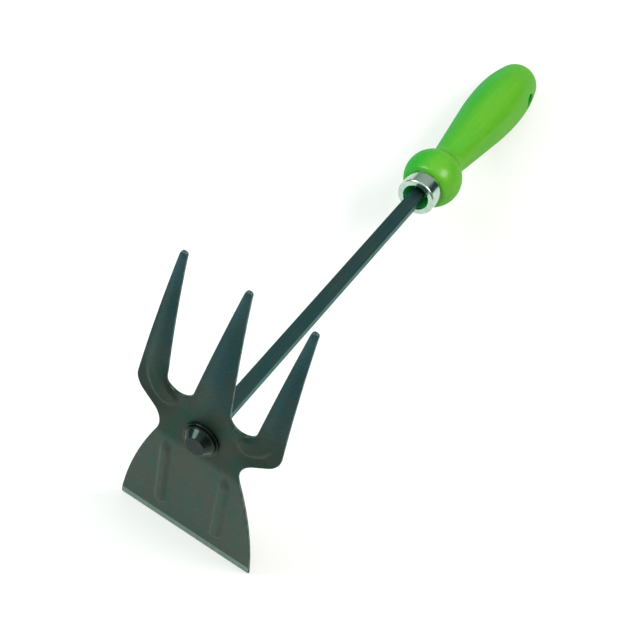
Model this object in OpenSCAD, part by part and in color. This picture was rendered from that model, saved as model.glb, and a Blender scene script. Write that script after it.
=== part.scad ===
// Hand cultivator: a pressed sheet steel head, with three tines above and a hoe blade below,
// riveted to a square bar shank that is driven through a ferrule into a turned wooden handle.
//
// Tool frame, in which each piece is drawn: the origin is on the rivet's axis at the front face
// of the head, +Y runs along the shank towards the handle, +Z towards the tines and +X along
// the cutting edge. stand() then tips the tool so that it rests on its cutting edge and on the
// butt of its handle, with the origin at the middle of its box on the surface it stands on.

/* [Head plate] */
// Thickness of the sheet steel
sheet_t = 1.8; // [1.5:0.1:2.2]
// Half width of the flat round the rivet, above and below the rivet's axis
flat_h = 10; // [9:0.5:11]
// Radius of the two bends beside the flat, at the front face
bend_r = 30; // [20:1:40]

/* [Blade] */
// Length of the cutting edge
blade_w = 80; // [76:1:84]
// Distance from the rivet's axis down to the cutting edge
blade_h = 101; // [96:1:106]
// Angle at which the blade slopes back under the handle
blade_rake = 12; // [9:1:15]
// Width of the bevel ground along the cutting edge
bevel_w = 8; // [5:0.5:10]
// Thickness left at the cutting edge
edge_land = 1.1; // [0.3:0.1:1.3]
// Radius of the long outward curve of each side of the blade
flare_r = 380; // [350:10:420]
// Distance of each pressed rib from the middle of the blade
rib_x = 17; // [15:0.5:18]
// Depth of the ribs' top ends below the rivet's axis
rib_top = 19; // [17:1:24]
// Depth of the ribs' bottom ends below the rivet's axis
rib_bottom = 80; // [60:1:82]
// Half width of a pressed rib
rib_w = 3.2; // [2.6:0.1:3.6]
// Height of a pressed rib above the blade's front face
rib_h = 1.2; // [0.8:0.1:1.4]

/* [Neck and tines] */
// Width of the neck between the blade and the tines
neck_w = 45.6; // [44:0.2:47]
// Distance of the narrowest place of the neck below the rivet's axis
neck_z = 8.5; // [7:0.5:10]
// Radius of the neck's inward curve
neck_r = 13.3; // [12:0.1:14]
// Distance of each elbow's centre from the middle
elbow_x = 26.8; // [26:0.2:28]
// Height of each elbow's centre above the rivet's axis
elbow_z = 17.6; // [17:0.2:19]
// Radius of the elbow under each outer tine
elbow_r = 13; // [11:0.5:13.5]
// Distance from the middle to the centre of each gap between tines, at its bottom
gap_x = 17.5; // [17:0.1:18]
// Height of the centre of each gap's round bottom above the rivet's axis
gap_z = 27; // [26:0.5:30]
// Radius of each gap's round bottom
gap_r = 7.5; // [7:0.1:8]
// Height of the tines' points above the rivet's axis
tine_h = 102.6; // [98:0.2:106]
// Distance from the middle to the point of each outer tine
tine_x = 33.4; // [32:0.2:35]
// Radius of the tines' points
tine_tip_r = 1.9; // [1.6:0.1:2.4]
// Angle at which the tines lean forward where they leave the flat
tine_lean = 4.3; // [3:0.1:6]
// Radius of the tines' backward curve
tine_curve_r = 560; // [500:10:700]

/* [Rivet and washer] */
// Radius of the washer in front of the head
washer_r = 9.6; // [9:0.1:10]
// Thickness of the washer
washer_t = 1.4; // [1:0.1:2]
// Radius of the rivet head at its rim
rivet_head_r = 8.7; // [8:0.1:9]
// Thickness of the rivet head's rim
rivet_rim_t = 1.4; // [1:0.1:2]
// Radius of the flat disc on the rivet head
rivet_flat_r = 5.3; // [4.5:0.1:6]
// Height of the rivet head's cone
rivet_cone_h = 3.7; // [3:0.1:4.5]
// Radius of the rivet's stem
rivet_stem_r = 2.4; // [2:0.1:2.6]
// Depth of the rivet's stem in the end of the shank
rivet_depth = 14; // [10:1:20]

/* [Shank] */
// Length from the front face of the head to the front of the ferrule
shank_l = 218; // [205:1:230]
// Side of the square bar
bar_w = 7.5; // [7:0.1:8]
// Radius of the bar's long corners
bar_corner_r = 0.9; // [0.6:0.1:1.2]
// Side of the square tang inside the handle
tang_w = 5.6; // [5:0.1:6]
// Depth of the tang's point behind the front of the ferrule
tang_depth = 64; // [50:1:75]
// Length of the taper from the bar to the tang
tang_taper = 5; // [4:0.5:6]

/* [Ferrule] */
// Outer radius of the ferrule
ferrule_r = 11.1; // [10.8:0.1:11.4]
// Length of the ferrule
ferrule_l = 10.6; // [10:0.1:12]
// Wall thickness of the ferrule
ferrule_t = 1.0; // [0.8:0.1:1.2]
// Thickness of the ferrule's front lip
lip_t = 1.4; // [1.2:0.1:1.6]
// Radius of the hole in the front lip
lip_hole_r = 7.6; // [7:0.1:8]

/* [Handle] */
// Radius of the ball behind the ferrule
ball_r = 16.5; // [16:0.1:17]
// Distance from the front of the ferrule to the ball's centre
ball_y = 21.4; // [21:0.1:22]
// Radius of the waist between the ball and the grip
waist_r = 9.9; // [9.5:0.1:10.3]
// Radius of the hollow curve of the waist
waist_curve_r = 16; // [14:1:18]
// Largest radius of the grip
grip_r = 16.1; // [15.8:0.1:16.5]
// Distance from the front of the ferrule to the grip's widest place
grip_y = 107; // [104:0.5:110]
// Radius of the grip's long curve in front of its widest place
grip_front_curve_r = 210; // [190:5:230]
// Radius of the grip's curve behind its widest place
grip_back_curve_r = 112; // [105:1:120]
// Radius of the round butt
butt_r = 13.1; // [12.6:0.1:13.5]
// Radius of the hanging hole
hang_r = 4.5; // [3:0.5:6]
// Distance from the front of the ferrule to the hanging hole
hang_y = 120.8; // [118:0.2:124]
// Angle of the hanging hole about the handle's axis, from the direction of the cutting edge
hang_turn = 14; // [0:1:30]

/* [Hidden] */
fine = 96;
clear = 0.05;
spare = 3;

// Two functions for outlines made of arcs and the straight lines that join them.
function arc(c, r, a0, a1, n = 12) = [for (i = [0:n]) let (a = a0 + (a1 - a0) * i / n)
    c + r * [cos(a), sin(a)]];
// The angle of the common normal of a line that touches two circles, where k is the distance
// between the circles' centres measured along that normal; side picks one of the two lines.
function normal_angle(c0, c1, k, side) = let (d = c1 - c0)
    atan2(d[1], d[0]) + side * acos(k / norm(d));
// Where two circles cross, on the side of the line c0-c1 that side picks.
function crossing(c0, r0, c1, r1, side) = let (
        d = norm(c1 - c0), u = (c1 - c0) / d,
        along = (r0 * r0 - r1 * r1 + d * d) / (2 * d),
        across = sqrt(r0 * r0 - along * along))
    c0 + along * u + side * across * [-u[1], u[0]];
function mirrored(pts) = [for (i = [len(pts) - 1:-1:0]) [-pts[i][0], pts[i][1]]];

// Centres of the circles in the head's outline, as [x, z].
mid_tip = [0, tine_h - tine_tip_r];
outer_tip = [tine_x, tine_h - tine_tip_r];
gap_c = [gap_x, gap_z];
elbow_c = [elbow_x, elbow_z];
neck_c = [neck_w / 2 + neck_r, -neck_z];
corner = [blade_w / 2, -blade_h];
flare_c = crossing(corner, flare_r, neck_c, flare_r + neck_r, 1);

// Angles of the normals where one stretch of the outline passes into the next.
mid_side_a = normal_angle(mid_tip, gap_c, tine_tip_r + gap_r, 1);
inner_side_a = normal_angle(gap_c, outer_tip, gap_r + tine_tip_r, -1);
outer_side_a = normal_angle(elbow_c, outer_tip, elbow_r - tine_tip_r, -1);
shoulder_a = normal_angle(elbow_c, neck_c, elbow_r + neck_r, 1);
flare_start_a = atan2(neck_c[1] - flare_c[1], neck_c[0] - flare_c[0]);
flare_end_a = atan2(corner[1] - flare_c[1], corner[0] - flare_c[0]);

half_outline = concat(
    arc(mid_tip, tine_tip_r, 90, mid_side_a),
    arc(gap_c, gap_r, mid_side_a + 180, inner_side_a + 360, 24),
    arc(outer_tip, tine_tip_r, inner_side_a + 180, outer_side_a, 16),
    arc(elbow_c, elbow_r, outer_side_a, shoulder_a, 16),
    arc(neck_c, neck_r, shoulder_a + 180, flare_start_a + 180, 16),
    arc(flare_c, flare_r, flare_start_a, flare_end_a, 16),
    [corner - [0, spare]]);

// The bent sheet seen from the side, as [y, z]. lean is the angle of the sheet's normal.
function back_of(p, lean) = p + sheet_t * [cos(lean), sin(lean)];
lower_bend_c = [bend_r, -flat_h];
upper_bend_c = [-bend_r, flat_h];
lower_bend_end = lower_bend_c - bend_r * [cos(blade_rake), sin(blade_rake)];
upper_bend_end = upper_bend_c + bend_r * [cos(tine_lean), sin(tine_lean)];
tine_curve_c = upper_bend_end + tine_curve_r * [cos(tine_lean), sin(tine_lean)];
tine_end_a = asin((tine_curve_c[1] - tine_h - spare) / tine_curve_r);
down_blade = [sin(blade_rake), -cos(blade_rake)];
// Length of the straight blade, measured so that the back of the edge is at blade_h.
blade_l = (blade_h + lower_bend_end[1] + sheet_t * sin(blade_rake)) / cos(blade_rake);
front_end = lower_bend_end + blade_l * down_blade;
edge = back_of(front_end, blade_rake);
edge_front = edge - edge_land * [cos(blade_rake), sin(blade_rake)];
bevel_top = front_end - bevel_w * down_blade;

sheet_section = concat(
    [edge, edge_front, bevel_top],
    arc(lower_bend_c, bend_r, 180 + blade_rake, 180, 6),
    arc(upper_bend_c, bend_r, 0, tine_lean, 3),
    arc(tine_curve_c, tine_curve_r, 180 + tine_lean, 180 + tine_end_a, 16),
    arc(tine_curve_c, tine_curve_r - sheet_t, 180 + tine_end_a, 180 + tine_lean, 16),
    arc(upper_bend_c, bend_r + sheet_t, tine_lean, 0, 3),
    arc(lower_bend_c, bend_r - sheet_t, 180, 180 + blade_rake, 6));

// A rib is round in section, with its centre line this far behind the blade's front face.
rib_r = (rib_w * rib_w + rib_h * rib_h) / (2 * rib_h);
rib_sink = rib_r - rib_h;
rib_start = lower_bend_end + (rib_top + lower_bend_end[1]) / cos(blade_rake) * down_blade;
rib_l = (rib_bottom - rib_top) / cos(blade_rake);
rib_foot = rib_start + (rib_l + rib_w) * down_blade
    - rib_h * [cos(blade_rake), sin(blade_rake)];

// The handle's centres, as [radius, distance from the front of the ferrule]. The waist's hollow
// curve touches the ball and reaches in to waist_r.
ball_c = [0, ball_y];
waist_reach = waist_r + waist_curve_r;
waist_c = [waist_reach, ball_y + sqrt(pow(ball_r + waist_curve_r, 2) - pow(waist_reach, 2))];
grip_front_c = [grip_r - grip_front_curve_r, grip_y];
grip_back_c = [grip_r - grip_back_curve_r, grip_y];
butt_y = grip_y + sqrt(pow(grip_back_curve_r - butt_r, 2) - pow(grip_back_c[0], 2));
butt_c = [0, butt_y];

// How the tool stands: the surface touches the cutting edge and the round butt.
butt_tool = [shank_l + butt_y, 0];
to_butt = butt_tool - edge;
stand_a = atan2(to_butt[1], to_butt[0]) - asin(butt_r / norm(to_butt));
function along(p) = p[0] * cos(stand_a) + p[1] * sin(stand_a);
function above(p) = p[1] * cos(stand_a) - p[0] * sin(stand_a);
rivet_front = -(washer_t + rivet_rim_t + rivet_cone_h);
front_y = min(along(bevel_top), along(rib_foot), along([rivet_front, -rivet_flat_r]));
back_y = along(butt_tool) + butt_r;

module stand() {
    translate([0, -(front_y + back_y) / 2, -above(edge)])
        rotate([-stand_a, 0, 0])
            children();
}

// Turns a profile of [radius, distance] about the shank's axis.
module turned(points) {
    rotate([-90, 0, 0])
        rotate_extrude($fn = fine)
            polygon(points);
}

module along_shank(from, r, length) {
    translate([0, from, 0])
        rotate([-90, 0, 0])
            cylinder(r = r, h = length, $fn = fine);
}

// Pressed sheet steel head: three tines above, flared hoe blade below.
module head_plate() {
    reach = 60;
    color("darkslategray")
    stand()
    difference() {
        union() {
            intersection() {
                translate([0, reach, 0])
                    rotate([90, 0, 0])
                        linear_extrude(2 * reach)
                            polygon(concat(half_outline, mirrored(half_outline)));
                translate([-blade_w, 0, 0])
                    rotate([90, 0, 90])
                        linear_extrude(2 * blade_w)
                            polygon(sheet_section);
            }
            blade_rib(1);
            blade_rib(-1);
        }
        along_shank(-reach, rivet_stem_r + clear, 2 * reach);
    }
}

// One of the two ribs pressed forward out of the blade: a low round-topped swelling with round
// ends, drawn along the straight part of the blade with its height along -Y.
module blade_rib(side) {
    translate([side * rib_x, rib_start[0], rib_start[1]])
        rotate([blade_rake, 0, 0])
            intersection() {
                translate([0, rib_sink, -rib_l - 2 * rib_w])
                    cylinder(r = rib_r, h = rib_l + 4 * rib_w, $fn = fine);
                translate([0, sheet_t / 2, 0])
                    rotate([90, 0, 0])
                        linear_extrude(sheet_t / 2 + 2 * rib_h)
                            polygon(concat(
                                arc([0, 0], rib_w, 0, 180, 24),
                                arc([0, -rib_l], rib_w, 180, 360, 24)));
            }
}

// Flat washer between the rivet head and the front of the head plate.
module washer() {
    color("dimgray")
    stand()
    difference() {
        along_shank(-washer_t, washer_r, washer_t);
        along_shank(-washer_t - spare, rivet_stem_r + clear, washer_t + 2 * spare);
    }
}

// Rivet: a rimmed cone with a flat disc, and a stem that holds in the end of the shank.
module rivet() {
    color("dimgray")
    stand()
    turned([
        [0, rivet_front],
        [rivet_flat_r, rivet_front],
        [rivet_head_r, -washer_t - rivet_rim_t],
        [rivet_head_r, -washer_t],
        [rivet_stem_r, -washer_t],
        [rivet_stem_r, rivet_depth],
        [0, rivet_depth]]);
}

// Square bar with rounded corners, tapered to a thinner square tang inside the handle.
module shank() {
    taper_start = shank_l + lip_t;
    color("darkslategray")
    stand()
    difference() {
        union() {
            translate([0, sheet_t, 0])
                rounded_bar(bar_w, bar_corner_r, taper_start - sheet_t);
            tang_taper(taper_start);
            translate([-tang_w / 2, taper_start + tang_taper, -tang_w / 2])
                cube([tang_w, shank_l + tang_depth - taper_start - tang_taper, tang_w]);
        }
        along_shank(0, rivet_stem_r + clear, rivet_depth + clear);
    }
}

module rounded_bar(w, r, length) {
    half = w / 2 - r;
    rotate([-90, 0, 0])
        linear_extrude(length)
            polygon(concat(
                arc([half, half], r, 0, 90, 6),
                arc([-half, half], r, 90, 180, 6),
                arc([-half, -half], r, 180, 270, 6),
                arc([half, -half], r, 270, 360, 6)));
}

// The four-sided taper: what two crossed wedges have in common.
module tang_taper(from) {
    intersection() {
        wedge(from);
        rotate([0, 90, 0])
            wedge(from);
    }
}

module wedge(from) {
    translate([0, 0, -bar_w / 2])
        linear_extrude(bar_w)
            polygon([
                [-bar_w / 2, from],
                [bar_w / 2, from],
                [tang_w / 2, from + tang_taper],
                [-tang_w / 2, from + tang_taper]]);
}

// Plated steel cap over the front of the handle, with a rounded front edge.
module ferrule() {
    edge_r = 1.1;
    lip_r = 0.4;
    bore = ferrule_r - ferrule_t;
    color("silver")
    stand()
    translate([0, shank_l, 0])
        turned(concat(
            arc([ferrule_r - edge_r, edge_r], edge_r, 0, -90, 8),
            arc([lip_hole_r + lip_r, lip_r], lip_r, -90, -180, 4),
            [
                [lip_hole_r, lip_t],
                [bore, lip_t],
                [bore, ferrule_l],
                [ferrule_r, ferrule_l]]));
}

// Turned wooden handle: spigot in the ferrule, ball, waist, pear-shaped grip and round butt.
module handle() {
    bore = ferrule_r - ferrule_t;
    mouth_r = 7.3;
    mouth_floor_r = 4.3;
    mouth_y = lip_t + tang_taper;
    ball_start = asin((ferrule_l - ball_y) / ball_r);
    waist_join = atan2(waist_c[1] - ball_y, waist_c[0]);
    rise_a = normal_angle(waist_c, grip_front_c, waist_curve_r + grip_front_curve_r, 1);
    butt_join = atan2(butt_y - grip_y, -grip_back_c[0]);
    color("limegreen")
    stand()
    translate([0, shank_l, 0])
    difference() {
        turned(concat(
            [
                [0, mouth_y],
                [mouth_floor_r, mouth_y],
                [mouth_r, lip_t],
                [bore, lip_t],
                [bore, ferrule_l]],
            arc(ball_c, ball_r, ball_start, waist_join, 24),
            arc(waist_c, waist_curve_r, waist_join + 180, rise_a, 16),
            arc(grip_front_c, grip_front_curve_r, rise_a + 180, 360, 16),
            arc(grip_back_c, grip_back_curve_r, 0, butt_join, 12),
            arc(butt_c, butt_r, butt_join, 90, 24)));
        tang_hole();
        rotate([0, -hang_turn, 0])
            translate([-2 * grip_r, hang_y, 0])
                rotate([0, 90, 0])
                    cylinder(r = hang_r, h = 4 * grip_r, $fn = fine);
    }
}

module tang_hole() {
    w = tang_w + 2 * clear;
    translate([-w / 2, 0, -w / 2])
        cube([w, tang_depth + clear, w]);
}

head_plate();
washer();
rivet();
shank();
ferrule();
handle();
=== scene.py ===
import math

import bmesh
import bpy
import numpy as np
from mathutils import Matrix, Vector, noise
from mathutils.geometry import delaunay_2d_cdt


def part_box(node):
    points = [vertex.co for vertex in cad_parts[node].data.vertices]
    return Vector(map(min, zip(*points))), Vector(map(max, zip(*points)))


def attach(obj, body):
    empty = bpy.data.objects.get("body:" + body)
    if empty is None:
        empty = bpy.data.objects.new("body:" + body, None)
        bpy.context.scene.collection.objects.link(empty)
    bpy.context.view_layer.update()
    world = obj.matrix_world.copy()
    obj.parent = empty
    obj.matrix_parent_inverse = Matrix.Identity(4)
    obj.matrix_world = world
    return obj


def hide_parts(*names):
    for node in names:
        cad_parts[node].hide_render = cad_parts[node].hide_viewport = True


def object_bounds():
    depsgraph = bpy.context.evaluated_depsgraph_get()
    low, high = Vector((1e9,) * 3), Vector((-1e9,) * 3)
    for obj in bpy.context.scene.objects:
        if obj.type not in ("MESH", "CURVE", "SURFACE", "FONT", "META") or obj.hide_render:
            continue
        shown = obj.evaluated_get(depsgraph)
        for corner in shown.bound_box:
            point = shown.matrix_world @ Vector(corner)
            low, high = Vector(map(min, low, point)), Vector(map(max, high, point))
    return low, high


# Hand cultivator: a pressed steel head, with three tines above and a hoe blade below, riveted to a square bar
# shank that is driven through a plated ferrule into a turned and lacquered wooden handle.
#
# Each piece is drawn in millimetres in the tool frame: the origin is on the rivet's axis at the head's front
# face, +Y runs along the shank to the handle, +Z towards the tines and +X along the cutting edge. The tool is
# then tipped to stand on its cutting edge and its butt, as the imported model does.
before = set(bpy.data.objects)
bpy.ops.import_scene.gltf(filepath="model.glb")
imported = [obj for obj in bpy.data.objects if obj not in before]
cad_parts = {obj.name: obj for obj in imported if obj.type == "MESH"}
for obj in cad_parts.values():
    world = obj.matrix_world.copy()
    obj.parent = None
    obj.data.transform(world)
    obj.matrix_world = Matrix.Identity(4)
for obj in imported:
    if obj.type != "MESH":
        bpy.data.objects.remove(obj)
cad_low, cad_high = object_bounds()

MM = 0.001

# Sheet steel head, seen from the side.
SHEET = 1.8
FLAT_H = 10.0
BEND_R = 30.0
RAKE = 12.0
TINE_LEAN = 4.3
TINE_CURVE_R = 560.0

# Blade.
BLADE_W = (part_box("head_plate")[1].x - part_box("head_plate")[0].x) / MM
BLADE_H = 101.0
BEVEL_W = 8.0
EDGE_LAND = 1.1
FLARE_R = 380.0
CORNER_R = 1.1
RIB_X = 17.0
RIB_TOP = 19.0
RIB_BOTTOM = 80.0
RIB_HALF_W = 3.3
RIB_H = 1.15

# Neck and tines.
NECK_W = 45.6
NECK_Z = 8.5
NECK_R = 13.3
ELBOW = Vector((26.8, 17.6))
ELBOW_R = 13.0
GAP = Vector((17.5, 27.0))
GAP_R = 7.5
TINE_H = 102.6
TINE_X = 33.4
TIP_R = 1.9

# Rivet and washer.
WASHER_R = 9.6
WASHER_T = 1.4
RIVET_R = 8.7
RIVET_RIM_T = 1.4
RIVET_FLAT_R = 5.3
RIVET_CONE_H = 3.7
STEM_R = 2.4
STEM_DEPTH = 14.0
HOLE_CLEAR = 0.05

# Shank.
SHANK_L = 218.0
BAR_W = 7.5
BAR_CORNER_R = 0.9
TANG_W = 5.6
TANG_DEPTH = 64.0
TANG_TAPER = 5.0

# Ferrule.
FERRULE_R = 11.1
FERRULE_L = 10.6
FERRULE_T = 1.0
LIP_T = 1.4
LIP_HOLE_R = 7.6

# Handle, with distances measured from the front of the ferrule.
BALL_R = 16.5
BALL_Y = 21.4
WAIST_R = 9.9
WAIST_CURVE_R = 16.0
GRIP_R = 16.1
GRIP_Y = 107.0
GRIP_FRONT_R = 210.0
GRIP_BACK_R = 112.0
BUTT_R = 13.1
HANG_R = 4.5
HANG_Y = 120.8
HANG_TURN = 14.0
MOUTH_R = 7.3
MOUTH_FLOOR_R = 4.3

# Camera: where it is in metres, how it is turned in degrees, its lens and its fine framing.
CAMERA_AT = (0.15944, -0.45839, 0.81683)
CAMERA_TURN = (22.54, 60.41, 11.97)
CAMERA_LENS = 97.67
CAMERA_SHIFT = 0.0008

# How finely the pieces are drawn.
TURNS = 160
SKIN_STEP = 0.85
EDGE_STEP = 0.5
PRESSED_EDGE_R = 0.45


# ---------------------------------------------------------------- outlines

def on_circle(centre, r, degrees):
    """The point of a circle at an angle."""
    a = math.radians(degrees)
    return centre + r * Vector((math.cos(a), math.sin(a)))


def arc(centre, r, start, end, step=0.25):
    """Points along an arc from one angle to another, in degrees, both ends included."""
    n = max(2, math.ceil(abs(math.radians(end - start)) * r / step))
    return [on_circle(centre, r, start + (end - start) * i / n) for i in range(n + 1)]


def normal_angle(c0, c1, k, side):
    """Angle of the common normal of a line that touches two circles, k apart along that normal."""
    d = c1 - c0
    return math.degrees(math.atan2(d.y, d.x) + side * math.acos(k / d.length))


def direction_angle(v):
    """The angle of a flat vector, in degrees."""
    return math.degrees(math.atan2(v.y, v.x))


def crossing(c0, r0, c1, r1):
    """Where two circles cross, to the left of the way from c0 to c1."""
    d = c1 - c0
    along = (r0 * r0 - r1 * r1 + d.length_squared) / (2 * d.length)
    across = math.sqrt(r0 * r0 - along * along)
    u = d.normalized()
    return c0 + along * u + across * Vector((-u.y, u.x))


def evenly(points, step, closed=False):
    """The same line with its points a step apart, measured along it."""
    line = points + [points[0]] if closed else points
    lengths = [(b - a).length for a, b in zip(line, line[1:])]
    total = sum(lengths)
    n = max(2, round(total / step))
    made, i, passed = [], 0, 0.0
    for k in range(n if closed else n + 1):
        at = total * k / n
        while i < len(lengths) - 1 and passed + lengths[i] < at:
            passed += lengths[i]
            i += 1
        t = (at - passed) / lengths[i] if lengths[i] else 0.0
        made.append(line[i].lerp(line[i + 1], min(1.0, t)))
    return made


def filleted(corners, steps=5):
    """A closed outline from (x, y, fillet radius) corners, each rounded by its own radius."""
    made = []
    for i, (x, y, r) in enumerate(corners):
        p = Vector((x, y))
        if r <= 0:
            made.append(p)
            continue
        before = (Vector(corners[i - 1][:2]) - p).normalized()
        after = (Vector(corners[(i + 1) % len(corners)][:2]) - p).normalized()
        half = before.angle(after) / 2
        centre = p + (before + after).normalized() * (r / math.sin(half))
        reach = r / math.tan(half)
        a0 = direction_angle(p + before * reach - centre)
        turn = (direction_angle(p + after * reach - centre) - a0 + 180) % 360 - 180
        made += [on_circle(centre, r, a0 + turn * k / steps) for k in range(steps + 1)]
    return made


# ---------------------------------------------------------------- how the tool stands

def blade_points():
    """Top of the bevel and back corner of the cutting edge, as (y, z) seen from the side."""
    rake = math.radians(RAKE)
    down, back = Vector((math.sin(rake), -math.cos(rake))), Vector((math.cos(rake), math.sin(rake)))
    bend_end = Vector((BEND_R, -FLAT_H)) - BEND_R * back
    length = (BLADE_H + bend_end.y + SHEET * math.sin(rake)) / math.cos(rake)
    front_end = bend_end + length * down
    return front_end - BEVEL_W * down, front_end + SHEET * back


BEVEL_TOP, EDGE = blade_points()
BUTT_Y = GRIP_Y + math.sqrt((GRIP_BACK_R - BUTT_R) ** 2 - (GRIP_R - GRIP_BACK_R) ** 2)
TO_BUTT = Vector((SHANK_L + BUTT_Y, 0.0)) - EDGE
STAND_A = math.atan2(TO_BUTT.y, TO_BUTT.x) - math.asin(BUTT_R / TO_BUTT.length)


def stand():
    """Tips the tool frame, so that the cutting edge and the butt touch the surface, and fits it to the frame."""
    turn = Matrix.Rotation(-STAND_A, 4, "X")
    butt = turn @ Vector((0.0, (SHANK_L + BUTT_Y) * MM, 0.0))
    edge = turn @ Vector((0.0, EDGE.x * MM, EDGE.y * MM))
    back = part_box("handle")[1].y - BUTT_R * MM
    return Matrix.Translation((0.0, back - butt.y, -edge.z)) @ turn


STAND = stand()


# ---------------------------------------------------------------- meshes

def placed(name, bm):
    """Makes an object from a mesh drawn in millimetres in the tool frame, and stands it up."""
    bmesh.ops.recalc_face_normals(bm, faces=bm.faces)
    bm.transform(STAND @ Matrix.Scale(MM, 4))
    for face in bm.faces:
        face.smooth = True
    mesh = bpy.data.meshes.new(name)
    bm.to_mesh(mesh)
    bm.free()
    made = bpy.data.objects.new(name, mesh)
    bpy.context.scene.collection.objects.link(made)
    return made


def piece_from(name, bm, slot_name, node, *materials):
    """Makes a piece from a mesh drawn in millimetres, which stands for a node and rides with it."""
    piece = placed(name, bm)
    for material in materials:
        piece.data.materials.append(material)
    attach(piece, "root")
    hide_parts(node)
    return piece


def crisp(piece, degrees=35.0):
    """Keeps real corners sharp and flat faces flat, between softly rounded edges."""
    piece.data.set_sharp_from_angle(angle=math.radians(degrees))
    even = piece.modifiers.new("flat faces", "WEIGHTED_NORMAL")
    even.keep_sharp = True
    return piece


def join_rings(bm, ring, other):
    """Joins two rings of points with faces. Either ring may be a single point."""
    n = max(len(ring), len(other))
    for i in range(n):
        j = (i + 1) % n
        corners = [ring[i % len(ring)], ring[j % len(ring)], other[j % len(other)], other[i % len(other)]]
        kept = [c for k, c in enumerate(corners) if c is not corners[k - 1]]
        if len(kept) > 2:
            bm.faces.new(kept)


def turned(profile, turns=TURNS):
    """Turns a closed profile of (radius, distance) points about the Y axis."""
    bm = bmesh.new()
    angles = [2 * math.pi * i / turns for i in range(turns)]
    rings = []
    for r, s in profile:
        if r < 1e-6:
            rings.append([bm.verts.new((0.0, s, 0.0))])
        else:
            rings.append([bm.verts.new((r * math.cos(a), s, r * math.sin(a))) for a in angles])
    for i, ring in enumerate(rings):
        if len(ring) > 1 or len(rings[i - 1]) > 1:
            join_rings(bm, rings[i - 1], ring)
    return bm


# ---------------------------------------------------------------- head plate

def half_outline():
    """Right half of the head from the middle tine's point to the middle of the cutting edge, as (x, z)."""
    mid_tip, outer_tip = Vector((0.0, TINE_H - TIP_R)), Vector((TINE_X, TINE_H - TIP_R))
    neck = Vector((NECK_W / 2 + NECK_R, -NECK_Z))
    flare = crossing(Vector((BLADE_W / 2, -BLADE_H)), FLARE_R, neck, FLARE_R + NECK_R)
    mid_side = normal_angle(mid_tip, GAP, TIP_R + GAP_R, 1)
    inner_side = normal_angle(GAP, outer_tip, GAP_R + TIP_R, -1)
    outer_side = normal_angle(ELBOW, outer_tip, ELBOW_R - TIP_R, -1)
    shoulder = normal_angle(ELBOW, neck, ELBOW_R + NECK_R, 1)
    flare_start = direction_angle(neck - flare)
    corner_z = CORNER_R - BLADE_H
    corner = Vector((flare.x + math.sqrt((FLARE_R - CORNER_R) ** 2 - (corner_z - flare.y) ** 2), corner_z))
    flare_end = direction_angle(corner - flare)
    return (arc(mid_tip, TIP_R, 90, mid_side)
            + arc(GAP, GAP_R, mid_side + 180, inner_side + 360)
            + arc(outer_tip, TIP_R, inner_side + 180, outer_side)
            + arc(ELBOW, ELBOW_R, outer_side, shoulder)
            + arc(neck, NECK_R, shoulder + 180, flare_start + 180)
            + arc(flare, FLARE_R, flare_start, flare_end)
            + arc(corner, CORNER_R, flare_end, -90)
            + [Vector((0.0, -BLADE_H))])


def smooth_step(low, high, x):
    """Rises smoothly from 0 at low to 1 at high, or falls where low is the larger."""
    t = np.clip((x - low) / (high - low), 0.0, 1.0)
    return t * t * (3 - 2 * t)


def sheet_y(z, depth):
    """How far back the bent sheet is at height z and at a depth behind its front face."""
    z, depth = np.asarray(z, float), np.asarray(depth, float)
    rake, lean = math.radians(RAKE), math.radians(TINE_LEAN)
    low_r, high_r, tine_r = BEND_R - depth, BEND_R + depth, TINE_CURVE_R - depth
    arc_end = -FLAT_H - low_r * math.sin(rake)
    lower = BEND_R - np.sqrt(np.maximum(low_r ** 2 - np.minimum(z + FLAT_H, 0.0) ** 2, 0.0))
    straight = BEND_R - low_r * math.cos(rake) + (arc_end - z) * math.tan(rake)
    bend_c = Vector((-BEND_R, FLAT_H))
    tine_c = bend_c + (BEND_R + TINE_CURVE_R) * Vector((math.cos(lean), math.sin(lean)))
    upper = bend_c.x + np.sqrt(np.maximum(high_r ** 2 - np.maximum(z - FLAT_H, 0.0) ** 2, 0.0))
    tine = tine_c.x - np.sqrt(tine_r ** 2 - (z - tine_c.y) ** 2)
    bend_top = FLAT_H + high_r * math.sin(lean)
    return np.where(z < arc_end, straight, np.where(z < 0.0, lower, np.where(z < bend_top, upper, tine)))


def bevel_depth(z):
    """How far the ground bevel has cut into the front face at height z."""
    share = np.clip((BEVEL_TOP.y - z) / (BEVEL_TOP.y + BLADE_H), 0.0, 1.0)
    return share * (SHEET - EDGE_LAND)


def to_line(x, z, line):
    """Distance of each point from a line of points, and the place along the line, from 0 to 1."""
    nearest, place = np.full(x.shape, 1e9), np.zeros(x.shape)
    for i, (a, b) in enumerate(zip(line, line[1:])):
        d = b - a
        t = np.clip(((x - a.x) * d.x + (z - a.y) * d.y) / d.length_squared, 0.0, 1.0)
        gap = np.hypot(x - a.x - t * d.x, z - a.y - t * d.y)
        place = np.where(gap < nearest, (i + t) / (len(line) - 1), place)
        nearest = np.minimum(gap, nearest)
    return nearest, place


def blade_rib(x, z):
    """Height of the pressed rib of one side: flat-topped, round at the bottom and pointed at the top."""
    shoulder, point = 0.42, 12.0
    d, _ = to_line(x, z, [Vector((RIB_X, 6.0 - RIB_TOP)), Vector((RIB_X, -RIB_BOTTOM))])
    fade = smooth_step(3.0 - RIB_TOP, 3.0 - RIB_TOP - point, z)
    half_w = RIB_HALF_W * (0.35 + 0.65 * fade)
    return RIB_H * fade * (1 - smooth_step(shoulder, 1.0, d / half_w))


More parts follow.
